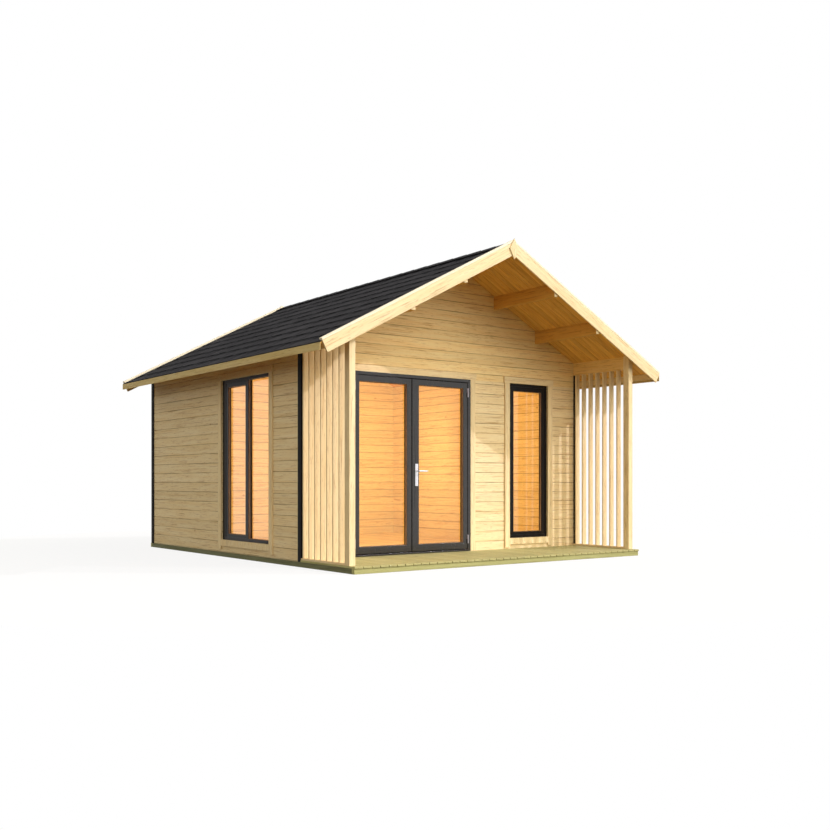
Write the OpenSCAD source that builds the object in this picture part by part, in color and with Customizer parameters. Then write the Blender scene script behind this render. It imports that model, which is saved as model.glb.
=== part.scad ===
// Timber garden house with a covered porch.
// Block-board walls stand on a treated base frame. Four purlins carry a shingled gable roof
// that reaches out over the porch deck. The porch has a post and a screen of upright fins on
// each side, and glazed double doors and a tall window behind it.
// X runs across the front, Y to the back and Z up. The origin is at ground level, in the
// middle of the plan.

/* [House] */
// Width over the outer faces of the side walls
house_w = 4000; // [3600:10:4800]
// Depth over the outer faces of the front and back walls
house_d = 3948; // [3200:2:4800]
// Thickness of the wall boards
wall_t = 44; // [34:1:58]
// Height of a side wall, from the base frame to the roof at its outer face
wall_h = 2295; // [2240:1:2500]
// Height of the lowest wall board
first_course_h = 121.4; // [100:0.1:140]
// Height that each wall board above it covers
course_h = 115.4; // [100:0.1:140]
// Depth of the groove between two wall boards
groove_d = 5; // [3:0.5:8]
// Height of the groove between two wall boards
groove_h = 10; // [6:1:16]

/* [Base and deck] */
// Height of the base frame
base_h = 54; // [45:1:70]
// Width of a bearer of the base frame
bearer_w = 60; // [50:1:80]
// Number of bearers that run from front to back
bearer_n = 7; // [5:2:9]
// Thickness of the front and back rim boards
rim_t = 45; // [36:1:58]
// How far the base frame stands out past the walls
base_lip = 16; // [6:1:20]
// Thickness of the deck boards and the floor boards
floor_t = 19; // [16:1:28]
// Depth of the porch deck in front of the front wall
porch_d = 1003; // [850:1:1250]

/* [Porch] */
// Width of a porch post, across the house
post_w = 70; // [60:1:95]
// Depth of a porch post, from front to back
post_d = 84; // [60:1:100]
// Distance from the deck's front edge to a post
post_set = 86; // [60:1:120]
// Height of the beam at its outer face
beam_h = 129; // [100:1:160]
// Number of fins in a porch screen
fin_n = 7; // [5:1:8]
// Width of a fin, across the screen
fin_w = 66; // [50:1:68]
// Thickness of a fin
fin_t = 18; // [12:1:24]
// Distance of the first fin's middle from the front wall
fin_first = 49; // [36:1:70]
// Distance of the last fin's middle from the post
fin_last = 104; // [80:1:120]
// Distance of the fins from the outer face of the posts
fin_inset = 2; // [0:1:10]
// Height of the rail under the fins
rail_h = 22; // [16:1:32]

/* [Corner trims] */
// Width of a corner trim on the side wall
trim_w = 61; // [45:1:95]
// Thickness of a corner trim
trim_t = 12; // [8:1:12]
// Width of the lip that turns round onto the front or back wall
trim_lip_w = 39; // [8:1:50]
// Thickness of that lip
trim_lip_t = 10; // [8:1:18]

/* [Roof] */
// Pitch of the roof in degrees
roof_pitch = 27.63; // [24:0.01:32]
// Reach of the eaves past the side wall
eaves_reach = 390; // [280:1:460]
// Reach of the roof past the front edge of the deck
porch_roof = 21; // [5:1:300]
// Reach of the roof past the back wall
back_roof = 56; // [40:1:140]
// Thickness of the roof boards
roof_t = 19; // [16:1:26]
// Thickness of the shingle layer
shingle_t = 8; // [6:1:12]
// Overhang of the shingles past the roof boards
shingle_lip = 6; // [0:1:20]
// Thickness of the ridge cap
cap_t = 6; // [4:1:10]
// Half width of the ridge cap
cap_w = 102; // [90:1:160]
// Width of a purlin
purlin_w = 58; // [44:1:70]
// Height of a purlin on its middle line
purlin_h = 140; // [110:1:160]
// Distance of the upper purlins from the ridge line
purlin_upper_x = 650; // [550:1:750]
// Distance of the lower purlins from the ridge line
purlin_lower_x = 1320; // [1200:1:1450]
// Thickness of the eaves boards
fascia_t = 18; // [15:1:24]
// Height of the eaves boards at their outer face
fascia_h = 63; // [50:1:90]
// Distance of the eaves boards from the edge of the roof boards
fascia_set = 62; // [40:1:90]

/* [Gable trim] */
// Thickness of the bargeboards
barge_t = 18; // [15:1:24]
// How far the bargeboards hang below the roof boards
barge_drop = 96; // [80:1:110]
// Thickness of the strip on top of a bargeboard
strip_t = 24; // [16:1:30]
// Width of that strip, from the front of the bargeboard inwards
strip_w = 46; // [36:1:90]
// Width of the diamond cover at the gable's peak
peak_w = 126; // [100:1:150]
// Height of the diamond cover
peak_h = 227; // [190:1:260]
// Thickness of the diamond cover
peak_t = 12; // [10:1:18]
// Rise of the diamond cover over the strips
peak_rise = 12; // [2:1:20]

/* [Doors] */
// Middle of the door frame, from the middle of the house
door_x = -583; // [-660:1:-540]
// Width over the door frame
door_w = 1660; // [1600:1:1740]
// Top of the door frame and of the window frames, above the ground
head_z = 2060; // [2000:1:2090]
// Width of a door jamb
jamb_w = 42; // [36:1:56]
// Height of the door head
door_head_h = 35; // [28:1:48]
// Height of the threshold
sill_h = 21; // [14:1:28]
// Thickness of a door leaf
leaf_t = 58; // [54:1:68]
// Gap between a door leaf and the frame
leaf_gap = 8; // [5:0.5:10]
// Gap between the two door leaves
meet_gap = 12; // [8:0.5:14]
// Shift of the line where the leaves meet, from the middle of the frame
meet_shift = -20; // [-30:1:0]
// Width of the stiles of a door leaf
stile_w = 61; // [52:1:80]
// Width of the right leaf's stile that carries the handle
lock_stile_w = 92; // [82:1:110]
// Height of the top rail of a door leaf
top_rail_h = 63; // [54:1:90]
// Height of the bottom rail of a door leaf
bottom_rail_h = 76; // [66:1:120]
// Thickness of the stop behind the door leaves
stop_t = 20; // [16:1:28]
// How far the stop stands in past the jambs, the head and the threshold
stop_w = 18; // [14:1:26]

/* [Glass] */
// Thickness of the panes
glass_t = 4; // [4:1:6]
// Depth of the groove that holds a pane
glass_seat = 12; // [8:1:14]
// Play of a pane in its groove
glass_play = 0.3; // [0.2:0.1:0.5]
// Distance of a door pane from the leaf's front face
door_glass_set = 40; // [30:1:44]

/* [Hinges and handle] */
// Diameter of a hinge barrel
barrel_d = 16; // [12:1:18]
// Height of one hinge barrel
barrel_h = 50; // [40:1:60]
// Diameter of a hinge pin
pin_d = 8; // [6:1:9]
// Running play of a pin or a spindle in its bore, on the radius
run_play = 0.05; // [0.02:0.01:0.1]
// Thickness of a hinge plate
plate_t = 3; // [2:0.5:4]
// Reach of a hinge plate from the hinge line
plate_w = 13; // [12:1:30]
// Distance of a hinge from the top or bottom edge of its leaf
hinge_set = 62; // [40:1:120]
// Distance of the handle spindle from the edge of its leaf
handle_set = 58; // [46:1:64]
// Height of the handle spindle above the ground
handle_z = 995; // [900:1:1100]
// Width of a handle plate
handle_plate_w = 39; // [34:1:46]
// Height of a handle plate
handle_plate_h = 247; // [200:1:270]
// Thickness of a handle plate
handle_plate_t = 5; // [4:1:8]
// Distance from the spindle up to the plate's top
handle_plate_up = 81; // [60:1:100]
// Diameter of the lever and its neck
lever_d = 16; // [12:1:18]
// Length of the lever from its spindle
lever_len = 122; // [100:1:135]
// Distance of the lever from the handle plate
lever_out = 44; // [38:1:52]

/* [Windows] */
// Left edge of the front window's opening
front_win_x = 862; // [800:1:900]
// Width of the front window's opening
front_win_w = 638; // [560:1:700]
// Front edge of the side window's opening, behind the front wall
side_win_y = 676; // [560:1:760]
// Width of the side window's opening
side_win_w = 1164; // [1000:1:1300]
// Bottom of the window openings, above the ground
win_z = 199; // [180:1:260]
// Width of a window frame's face
win_frame_w = 36; // [30:1:46]
// Width of a window sash's face
win_sash_w = 52; // [44:1:66]
// Height of a window sash's bottom rail
win_foot_h = 36; // [30:1:60]
// Distance of a window pane from the face that it sits behind
win_glass_set = 32; // [22:1:34]
// Depth of a window frame
win_frame_d = 56; // [50:1:70]
// Depth of a window sash
win_sash_d = 44; // [41:1:48]
// Distance of a window frame behind the wall's outer face
win_set = 10; // [4:1:14]
// Distance of a sash behind its frame's outer face
sash_set = 4; // [2:1:8]
// Width of the mullion of the side window
mullion_w = 24; // [20:1:60]
// Clear width of the side window's fixed light
fixed_light_w = 486; // [420:1:540]
// Width of the side window's rear jamb
rear_jamb_w = 80; // [40:1:100]

/* [Casings] */
// Width of the boards round the door and the windows
casing_w = 74; // [60:1:90]
// Thickness of those boards
casing_t = 18; // [14:1:22]
// Gap where two of those boards meet
casing_gap = 1; // [0.5:0.5:2]
// How far the head board reaches past the side boards
casing_ear = 14; // [0:1:30]

/* [Hidden] */
$fn = 48;
// Overrun of every cut
over = 2;
// Gap between the two barrels of a hinge
barrel_gap = 0.3;
// Side play of a purlin in the notch of a gable wall
notch_play = 0.3;
// Play between one layer of the roof and the next
lay_play = 0.2;

// Plan
x_out = house_w / 2;
x_in = x_out - wall_t;
x_base = x_out + base_lip;
roof_reach = porch_d + porch_roof;
front_reach = roof_reach + peak_t;
back_reach = back_roof + peak_t;
y_origin = (front_reach - back_reach - house_d) / 2;
y_back = house_d - wall_t;

// Heights
deck_z = base_h + floor_t;
wall_top = base_h + wall_h;
tan_p = tan(roof_pitch);
cos_p = cos(roof_pitch);
sin_p = sin(roof_pitch);
ridge_z = wall_top + x_out * tan_p;
beam_z = wall_top - beam_h;
eaves_x = x_out + eaves_reach;
fascia_x = eaves_x - fascia_set;
roof_front = -roof_reach + barge_t;
roof_back = house_d + back_roof - barge_t;
cover_n = roof_t + shingle_t;
cap_n = cover_n + lay_play;
verge_n = cover_n + strip_t;
verge_s = (eaves_x - verge_n * sin_p) / cos_p;

// Doors
door_left = door_x - door_w / 2;
door_right = door_x + door_w / 2;
meet_x = door_x + meet_shift;
half_leaf_w = door_w / 2 - jamb_w - leaf_gap - meet_gap / 2;
left_leaf_w = half_leaf_w + meet_shift;
right_leaf_w = half_leaf_w - meet_shift;
leaf_z = deck_z + sill_h + leaf_gap;
leaf_top = head_z - door_head_h - leaf_gap;
leaf_h = leaf_top - leaf_z;
door_face = -casing_t;
door_back = door_face + leaf_t + leaf_gap + stop_t;
hinge_y = door_face - plate_t - barrel_d / 2 + plate_t / 2;
hinge_dx = door_w / 2 - jamb_w - leaf_gap / 2;
handle_x = meet_x + meet_gap / 2 + handle_set;

// Porch
post_y = -porch_d + post_set;
post_x = x_base - post_w;
fin_x = x_base - fin_inset - fin_w;
fin_pitch = (-post_y - post_d - fin_first - fin_last) / (fin_n - 1);

// Windows
win_h = head_z - win_z;
fixed_light_x = side_win_w - win_frame_w - fixed_light_w;
sash_light_w = fixed_light_x - mullion_w - rear_jamb_w;

// Height of the underside of the roof boards over a point across the house
function roof_z(x) = ridge_z - abs(x) * tan_p;

// Vertical rise of a layer of a given thickness on the slope
function rise(t) = t / cos_p;

// Point at a distance down the slope and a height over the underside of the boards
function slope_pt(s, n) = [s * cos_p + n * sin_p, ridge_z - s * sin_p + n * cos_p];

// Put the house's own coordinates, from the front wall's outer face, into the part's frame
module placed() translate([0, y_origin, 0]) children();

// Extrude an outline in X and Z from one Y to another
module along_y(y0, y1)
  translate([0, y1, 0])
    rotate([90, 0, 0])
      linear_extrude(height = y1 - y0) children();

// Block between two corners
module block(a, b) translate(a) cube(b - a);

// The same piece on the left and on the right
module both_sides() {
  children();
  mirror([1, 0, 0]) children();
}

// Section of a board wall: across is the thickness, up is the height
module wall_section(z0, z1) {
  joints = [for (z = [base_h + first_course_h : course_h : z1 - groove_h]) if (z > z0 + groove_h) z];
  difference() {
    translate([0, z0]) square([wall_t, z1 - z0]);
    for (z = joints) {
      translate([0, z]) groove_cut();
      translate([wall_t, z]) groove_cut();
    }
  }
}

// V groove where two boards meet
module groove_cut()
  polygon([[-groove_d, 0], [0, -groove_h / 2], [groove_d, 0], [0, groove_h / 2]]);

// Board wall that runs across the house, with its outer face towards the front
module cross_wall(x0, x1, z0, z1)
  translate([x0, 0, 0])
    rotate([90, 0, 90])
      linear_extrude(height = x1 - x0) wall_section(z0, z1);

// Board wall that runs from front to back, outwards from the inner face
module long_wall(z0, z1)
  translate([x_in, 0, 0])
    along_y(wall_t, y_back) wall_section(z0, z1);

// Space under the roof boards
module under_roof(y0, y1)
  along_y(y0, y1)
    polygon([
      [-eaves_x, 0], [eaves_x, 0], [eaves_x, roof_z(eaves_x)],
      [0, ridge_z], [-eaves_x, roof_z(eaves_x)]
    ]);

// Layer on one slope, between two heights over the underside of the boards
module slope_layer(x1, n0, n1, y0, y1)
  along_y(y0, y1)
    polygon([
      [0, ridge_z + rise(n0)], [x1, roof_z(x1) + rise(n0)],
      [x1, roof_z(x1) + rise(n1)], [0, ridge_z + rise(n1)]
    ]);

// Board along a gable edge, mitred at the peak and cut square at the eaves
module verge_board(n0, n1, y0, y1)
  along_y(y0, y1)
    polygon([
      [0, ridge_z + rise(n0)], slope_pt(verge_s, n0),
      slope_pt(verge_s, n1), [0, ridge_z + rise(n1)]
    ]);

// Outline of one purlin, cut to the slope on top
module purlin_outline(x, play)
  polygon([
    [x - purlin_w / 2 - play, roof_z(x) - purlin_h], [x + purlin_w / 2 + play, roof_z(x) - purlin_h],
    [x + purlin_w / 2 + play, roof_z(x + purlin_w / 2 + play)],
    [x - purlin_w / 2 - play, roof_z(x - purlin_w / 2 - play)]
  ]);

// Notches for the purlins in a gable wall
module purlin_notches(y0, y1)
  both_sides()
    for (x = [purlin_upper_x, purlin_lower_x])
      along_y(y0 - over, y1 + over) purlin_outline(x, notch_play);

// Rectangular ring that stands in X and Z, from its lower left corner
module ring(w, h, d, left, right, bottom, top)
  difference() {
    cube([w, d, h]);
    translate([left, -over, bottom]) cube([w - left - right, d + 2 * over, h - bottom - top]);
  }

// Groove for a pane round an opening of a ring
module pane_space(w, h, play)
  translate([-glass_seat + play, play, -glass_seat + play])
    cube([w + 2 * (glass_seat - play), glass_t - 2 * play + 2 * glass_play, h + 2 * (glass_seat - play)]);

// Base frame

module base_bearers()
  color("darkolivegreen") placed()
    for (i = [0 : bearer_n - 1])
      translate([-x_base + i * (2 * x_base - bearer_w) / (bearer_n - 1), -porch_d + rim_t, 0])
        cube([bearer_w, porch_d + house_d + base_lip - 2 * rim_t, base_h]);

module base_rims()
  color("darkkhaki") placed() {
    block([-x_base, -porch_d, 0], [x_base, -porch_d + rim_t, base_h]);
    block([-x_base, house_d + base_lip - rim_t, 0], [x_base, house_d + base_lip, base_h]);
  }

module floor()
  color("burlywood") placed()
    block([-x_in, wall_t, base_h], [x_in, y_back, deck_z]);

module porch_deck()
  color("darkkhaki") placed()
    block([-x_base, -porch_d, base_h], [x_base, 0, deck_z]);

// Walls

module front_wall_left()
  color("wheat") placed()
    cross_wall(-x_out, door_left, base_h, head_z);

module front_wall_right()
  color("wheat") placed()
    difference() {
      cross_wall(door_right, x_out, base_h, head_z);
      block([front_win_x, -over, win_z], [front_win_x + front_win_w, wall_t + over, head_z + over]);
    }

module front_gable()
  color("wheat") placed()
    difference() {
      intersection() {
        cross_wall(-x_out, x_out, head_z, ridge_z + groove_h);
        under_roof(-over, wall_t + over);
      }
      purlin_notches(0, wall_t);
    }

module left_wall()
  color("tan") placed()
    difference() {
      mirror([1, 0, 0]) side_wall();
      block([-x_out - over, side_win_y, win_z], [-x_in + over, side_win_y + side_win_w, head_z]);
    }

module right_wall()
  color("tan") placed() side_wall();

module side_wall()
  intersection() {
    long_wall(base_h, wall_top + wall_t);
    under_roof(0, house_d);
  }

module back_wall()
  color("wheat") placed()
    difference() {
      intersection() {
        translate([0, y_back, 0]) cross_wall(-x_out, x_out, base_h, ridge_z + groove_h);
        under_roof(y_back - over, house_d + over);
      }
      purlin_notches(y_back, house_d);
    }

// Dark trims that cover the board ends at the four corners

module corner_trims()
  color("black") placed()
    both_sides() {
      corner_trim(beam_z - over, deck_z);
      translate([0, house_d, 0]) mirror([0, 1, 0]) corner_trim(wall_top - trim_w, base_h);
    }

module corner_trim(lip_top, lip_z) {
  block([x_out, 0, base_h], [x_out + trim_t, trim_w, wall_top - trim_w]);
  block([x_out - trim_lip_w, -trim_lip_t, lip_z], [x_out + trim_t, 0, lip_top]);
}

// Porch

module porch_posts()
  color("wheat") placed()
    both_sides()
      intersection() {
        block([post_x, post_y, deck_z], [x_base, post_y + post_d, wall_top + post_w]);
        under_roof(roof_front, over);
      }

module porch_beams()
  color("tan") placed()
    both_sides()
      intersection() {
        block([x_in, post_y + post_d, beam_z], [x_out, 0, wall_top + wall_t]);
        under_roof(roof_front, over);
      }

module screen_fins()
  color("wheat") placed()
    both_sides()
      for (i = [0 : fin_n - 1])
        translate([fin_x, -fin_first - i * fin_pitch - fin_t / 2, deck_z + rail_h])
          cube([fin_w, fin_t, beam_z - deck_z - rail_h]);

module screen_rails()
  color("wheat") placed()
    both_sides()
      block([fin_x, post_y + post_d, deck_z], [fin_x + fin_w, -trim_lip_t, deck_z + rail_h]);

// Roof

module purlins()
  color("tan") placed()
    both_sides()
      for (x = [purlin_upper_x, purlin_lower_x])
        along_y(roof_front, roof_back) purlin_outline(x, 0);

module roof_boards_right()
  color("sienna") placed()
    slope_layer(eaves_x, lay_play, roof_t, roof_front, roof_back);

module roof_boards_left()
  color("sienna") placed()
    mirror([1, 0, 0]) slope_layer(eaves_x, lay_play, roof_t, roof_front, roof_back);

module shingles_right()
  color("dimgray") placed()
    slope_layer(eaves_x + shingle_lip, roof_t + lay_play, cover_n, roof_front, roof_back);

module shingles_left()
  color("dimgray") placed()
    mirror([1, 0, 0]) slope_layer(eaves_x + shingle_lip, roof_t + lay_play, cover_n, roof_front, roof_back);

module ridge_cap()
  color("dimgray") placed()
    along_y(-roof_reach + strip_w, house_d + back_roof - strip_w)
      polygon([
        [-cap_w, roof_z(cap_w) + rise(cap_n)], [0, ridge_z + rise(cap_n)],
        [cap_w, roof_z(cap_w) + rise(cap_n)], [cap_w, roof_z(cap_w) + rise(cap_n + cap_t)],
        [0, ridge_z + rise(cap_n + cap_t)], [-cap_w, roof_z(cap_w) + rise(cap_n + cap_t)]
      ]);

module eaves_boards()
  color("tan") placed()
    both_sides()
      along_y(roof_front, roof_back)
        polygon([
          [fascia_x - fascia_t, roof_z(fascia_x) - fascia_h],
          [fascia_x, roof_z(fascia_x) - fascia_h],
          [fascia_x, roof_z(fascia_x)],
          [fascia_x - fascia_t, roof_z(fascia_x - fascia_t)]
        ]);

module bargeboards_right()
  color("wheat") placed() {
    verge_board(-barge_drop, cover_n, -roof_reach, roof_front);
    verge_board(-barge_drop, cover_n, roof_back, roof_back + barge_t);
  }

module bargeboards_left()
  color("wheat") placed()
    mirror([1, 0, 0]) {
      verge_board(-barge_drop, cover_n, -roof_reach, roof_front);
      verge_board(-barge_drop, cover_n, roof_back, roof_back + barge_t);
    }

module verge_strips_right()
  color("wheat") placed() {
    verge_board(cover_n + lay_play, verge_n, -roof_reach, -roof_reach + strip_w);
    verge_board(cover_n + lay_play, verge_n, house_d + back_roof - strip_w, house_d + back_roof);
  }

module verge_strips_left()
  color("wheat") placed()
    mirror([1, 0, 0]) {
      verge_board(cover_n + lay_play, verge_n, -roof_reach, -roof_reach + strip_w);
      verge_board(cover_n + lay_play, verge_n, house_d + back_roof - strip_w, house_d + back_roof);
    }

module peak_covers()
  color("wheat") placed() {
    along_y(-front_reach, -roof_reach) peak_outline();
    along_y(house_d + back_roof, house_d + back_reach) peak_outline();
  }

module peak_outline() {
  top = ridge_z + rise(verge_n) + peak_rise;
  polygon([
    [0, top - peak_h], [peak_w / 2, top - peak_h / 2],
    [0, top], [-peak_w / 2, top - peak_h / 2]
  ]);
}

// Door frame

module door_jambs()
  color("dimgray") placed()
    translate([door_x, 0, 0])
      both_sides()
        translate([door_w / 2, 0, deck_z])
          linear_extrude(height = head_z - door_head_h - deck_z)
            polygon([
              [-jamb_w, door_face], [0, door_face], [0, door_back],
              [-jamb_w - stop_w, door_back], [-jamb_w - stop_w, door_back - stop_t],
              [-jamb_w, door_back - stop_t]
            ]);

module door_head()
  color("dimgray") placed() {
    block([door_left, door_face, head_z - door_head_h], [door_right, door_back, head_z]);
    cross_stop(head_z - door_head_h - stop_w, head_z);
  }

module door_threshold()
  color("dimgray") placed() {
    block(
      [door_left + jamb_w, door_face, deck_z],
      [door_right - jamb_w, door_back - stop_t, deck_z + sill_h]
    );
    cross_stop(deck_z, deck_z + sill_h + stop_w);
  }

// Stop behind the leaves, from one jamb's stop to the other
module cross_stop(z0, z1)
  block(
    [door_left + jamb_w + stop_w, door_back - stop_t, z0],
    [door_right - jamb_w - stop_w, door_back, z1]
  );

module door_casing()
  color("wheat") placed() {
    casing_sides(door_left, door_right, deck_z + casing_gap);
    casing_head(door_left, door_right);
  }

// Upright casing boards at the two sides of an opening, on the front wall
module casing_sides(x0, x1, z0) {
  block([x0 - casing_w, -casing_t, z0], [x0, 0, head_z - casing_gap]);
  block([x1, -casing_t, z0], [x1 + casing_w, 0, head_z - casing_gap]);
}

// Casing board over an opening, on the front wall
module casing_head(x0, x1)
  block(
    [x0 - casing_w - casing_ear, -casing_t, head_z],
    [x1 + casing_w + casing_ear, 0, head_z + casing_w]
  );

// Hinge places up a door leaf
hinge_zs = [leaf_z + hinge_set, leaf_top - hinge_set - 2 * barrel_h - barrel_gap];

module door_hinge_pins()
  color("silver") placed()
    translate([door_x, 0, 0])
      both_sides()
        for (z = hinge_zs)
          translate([hinge_dx, hinge_y, z]) {
            cylinder(d = barrel_d, h = barrel_h);
            cylinder(d = pin_d, h = 2 * barrel_h - plate_t);
            translate([0, barrel_d / 2 - plate_t / 2, 0])
              cube([plate_w, plate_t, barrel_h]);
          }

// Hinge halves of the right leaf; the left leaf has the mirror image
module leaf_hinges()
  for (z = hinge_zs)
    translate([hinge_dx, hinge_y, z + barrel_h + barrel_gap])
      difference() {
        union() {
          cylinder(d = barrel_d, h = barrel_h);
          translate([-plate_w, barrel_d / 2 - plate_t / 2, 0])
            cube([plate_w, plate_t, barrel_h]);
        }
        translate([0, 0, -over])
          cylinder(d = pin_d + 2 * run_play, h = barrel_h - plate_t + over);
      }

module right_leaf_hinges()
  color("silver") placed()
    translate([door_x, 0, 0]) leaf_hinges();

module left_leaf_hinges()
  color("silver") placed()
    translate([door_x, 0, 0]) mirror([1, 0, 0]) leaf_hinges();

// Door leaves

// Frame of a leaf, from the line where the leaves meet towards its hinges
module leaf_frame(w, meet_stile_w)
  translate([meet_gap / 2, door_face, leaf_z])
    difference() {
      ring(w, leaf_h, leaf_t, meet_stile_w, stile_w, bottom_rail_h, top_rail_h);
      in_leaf(meet_stile_w) leaf_pane(w, meet_stile_w, 0);
    }

// Pane of that leaf
module leaf_glass(w, meet_stile_w)
  translate([meet_gap / 2, door_face, leaf_z])
    in_leaf(meet_stile_w) leaf_pane(w, meet_stile_w, glass_play);

module in_leaf(meet_stile_w) translate([meet_stile_w, door_glass_set, bottom_rail_h]) children();

module leaf_pane(w, meet_stile_w, play)
  pane_space(w - meet_stile_w - stile_w, leaf_h - bottom_rail_h - top_rail_h, play);

module left_leaf()
  color("dimgray") placed()
    translate([meet_x, 0, 0]) mirror([1, 0, 0]) leaf_frame(left_leaf_w, stile_w);

module left_leaf_glass()
  color("orange", 0.4) placed()
    translate([meet_x, 0, 0]) mirror([1, 0, 0]) leaf_glass(left_leaf_w, stile_w);

module right_leaf()
  color("dimgray") placed()
    difference() {
      translate([meet_x, 0, 0]) leaf_frame(right_leaf_w, lock_stile_w);
      translate([handle_x, door_face - over, handle_z])
        rotate([-90, 0, 0]) cylinder(d = lever_d + lever_d / 2, h = leaf_t + 2 * over);
    }

module right_leaf_glass()
  color("orange", 0.4) placed()
    translate([meet_x, 0, 0]) leaf_glass(right_leaf_w, lock_stile_w);

// Lever handle

module handle_plates()
  color("silver") placed() {
    handle_plate(door_face - handle_plate_t);
    handle_plate(door_face + leaf_t);
  }

module handle_plate(y)
  translate([handle_x, y, handle_z])
    difference() {
      translate([-handle_plate_w / 2, 0, handle_plate_up - handle_plate_h])
        cube([handle_plate_w, handle_plate_t, handle_plate_h]);
      translate([0, -over, 0])
        rotate([-90, 0, 0]) cylinder(d = lever_d + 2 * run_play, h = handle_plate_t + 2 * over);
    }

// Spindle with a lever at each end
module lever_handle() {
  reach = handle_plate_t + lever_out;
  color("silver") placed()
    translate([handle_x, door_face - reach, handle_z]) {
      rotate([-90, 0, 0]) cylinder(d = lever_d, h = leaf_t + 2 * reach);
      lever_arm();
      translate([0, leaf_t + 2 * reach, 0]) lever_arm();
    }
}

module lever_arm() {
  sphere(d = lever_d);
  rotate([0, 90, 0]) cylinder(d = lever_d, h = lever_len - lever_d / 2);
  translate([lever_len - lever_d / 2, 0, 0]) sphere(d = lever_d);
}

// Windows

module front_window_frame()
  color("dimgray") placed()
    translate([front_win_x, win_set, win_z])
      ring(front_win_w, win_h, win_frame_d, win_frame_w, win_frame_w, win_frame_w, win_frame_w);

// Sash with its pane groove, from its lower left corner
module sash(w, h)
  difference() {
    ring(w, h, win_sash_d, win_sash_w, win_sash_w, win_foot_h, win_sash_w);
    sash_pane_space(w, h, 0);
  }

// Pane of that sash
module sash_pane(w, h) sash_pane_space(w, h, glass_play);

module sash_pane_space(w, h, play)
  translate([win_sash_w, win_glass_set, win_foot_h])
    pane_space(w - 2 * win_sash_w, h - win_foot_h - win_sash_w, play);

module in_front_frame()
  translate([front_win_x + win_frame_w, win_set + sash_set, win_z + win_frame_w]) children();

// Left wall's window: its own X runs forwards along the wall and its Y inwards
module in_left_wall()
  translate([-x_out, side_win_y + side_win_w, win_z])
    rotate([0, 0, -90]) children();

module side_window_frame()
  color("dimgray") placed()
    in_left_wall()
      translate([0, win_set, 0])
        difference() {
          cube([side_win_w, win_frame_d, win_h]);
          translate([rear_jamb_w, -over, win_frame_w])
            cube([sash_light_w, win_frame_d + 2 * over, win_h - 2 * win_frame_w]);
          translate([fixed_light_x, -over, win_frame_w])
            cube([fixed_light_w, win_frame_d + 2 * over, win_h - 2 * win_frame_w]);
          translate([fixed_light_x, win_glass_set, win_frame_w])
            pane_space(fixed_light_w, win_h - 2 * win_frame_w, 0);
        }

module in_side_light()
  in_left_wall() translate([rear_jamb_w, win_set + sash_set, win_frame_w]) children();

module window_sashes()
  color("dimgray") placed() {
    in_front_frame() sash(front_win_w - 2 * win_frame_w, win_h - 2 * win_frame_w);
    in_side_light() sash(sash_light_w, win_h - 2 * win_frame_w);
  }

module window_glass()
  color("orange", 0.4) placed() {
    in_front_frame() sash_pane(front_win_w - 2 * win_frame_w, win_h - 2 * win_frame_w);
    in_side_light() sash_pane(sash_light_w, win_h - 2 * win_frame_w);
    in_left_wall()
      translate([fixed_light_x, win_set + win_glass_set, win_frame_w])
        pane_space(fixed_light_w, win_h - 2 * win_frame_w, glass_play);
  }

module window_casings()
  color("wheat") placed() {
    window_casing(front_win_w, front_win_x);
    translate([-x_out, side_win_y + side_win_w, 0])
      rotate([0, 0, -90]) window_casing(side_win_w, 0);
  }

// Four boards round a window, on the outer face of its wall
module window_casing(w, x0) {
  drop = casing_w / 2;
  casing_sides(x0, x0 + w, win_z - casing_w - drop);
  casing_head(x0, x0 + w);
  block([x0 + casing_gap, -casing_t, win_z - casing_w], [x0 + w - casing_gap, 0, win_z]);
}

base_bearers();
base_rims();
floor();
porch_deck();
front_wall_left();
front_wall_right();
front_gable();
left_wall();
right_wall();
back_wall();
corner_trims();
porch_posts();
porch_beams();
screen_fins();
screen_rails();
purlins();
roof_boards_left();
roof_boards_right();
shingles_left();
shingles_right();
ridge_cap();
eaves_boards();
bargeboards_left();
bargeboards_right();
verge_strips_left();
verge_strips_right();
peak_covers();
door_jambs();
door_head();
door_threshold();
door_casing();
door_hinge_pins();
left_leaf();
left_leaf_glass();
left_leaf_hinges();
right_leaf();
right_leaf_glass();
right_leaf_hinges();
handle_plates();
lever_handle();
front_window_frame();
side_window_frame();
window_sashes();
window_glass();
window_casings();
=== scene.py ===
"""Looks of the garden house: finishes, boards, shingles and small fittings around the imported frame."""

import math
import random
from collections import namedtuple

import bmesh
import bpy
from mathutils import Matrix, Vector


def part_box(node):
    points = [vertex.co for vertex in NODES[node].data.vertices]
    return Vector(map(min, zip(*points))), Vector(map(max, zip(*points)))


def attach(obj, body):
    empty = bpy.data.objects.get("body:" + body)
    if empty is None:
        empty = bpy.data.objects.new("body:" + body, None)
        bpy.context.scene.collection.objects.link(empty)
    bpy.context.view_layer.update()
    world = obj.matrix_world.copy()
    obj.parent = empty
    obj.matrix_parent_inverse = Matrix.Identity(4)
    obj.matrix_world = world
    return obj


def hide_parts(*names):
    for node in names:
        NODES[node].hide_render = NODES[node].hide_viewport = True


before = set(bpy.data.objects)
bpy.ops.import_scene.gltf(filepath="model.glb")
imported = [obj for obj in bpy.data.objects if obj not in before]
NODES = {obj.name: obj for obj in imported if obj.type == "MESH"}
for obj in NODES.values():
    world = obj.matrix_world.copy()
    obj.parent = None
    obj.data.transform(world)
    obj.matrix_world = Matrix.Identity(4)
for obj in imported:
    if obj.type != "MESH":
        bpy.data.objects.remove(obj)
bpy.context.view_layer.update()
DRAW = random.Random(11)

# Driving sizes, in metres and degrees

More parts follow.
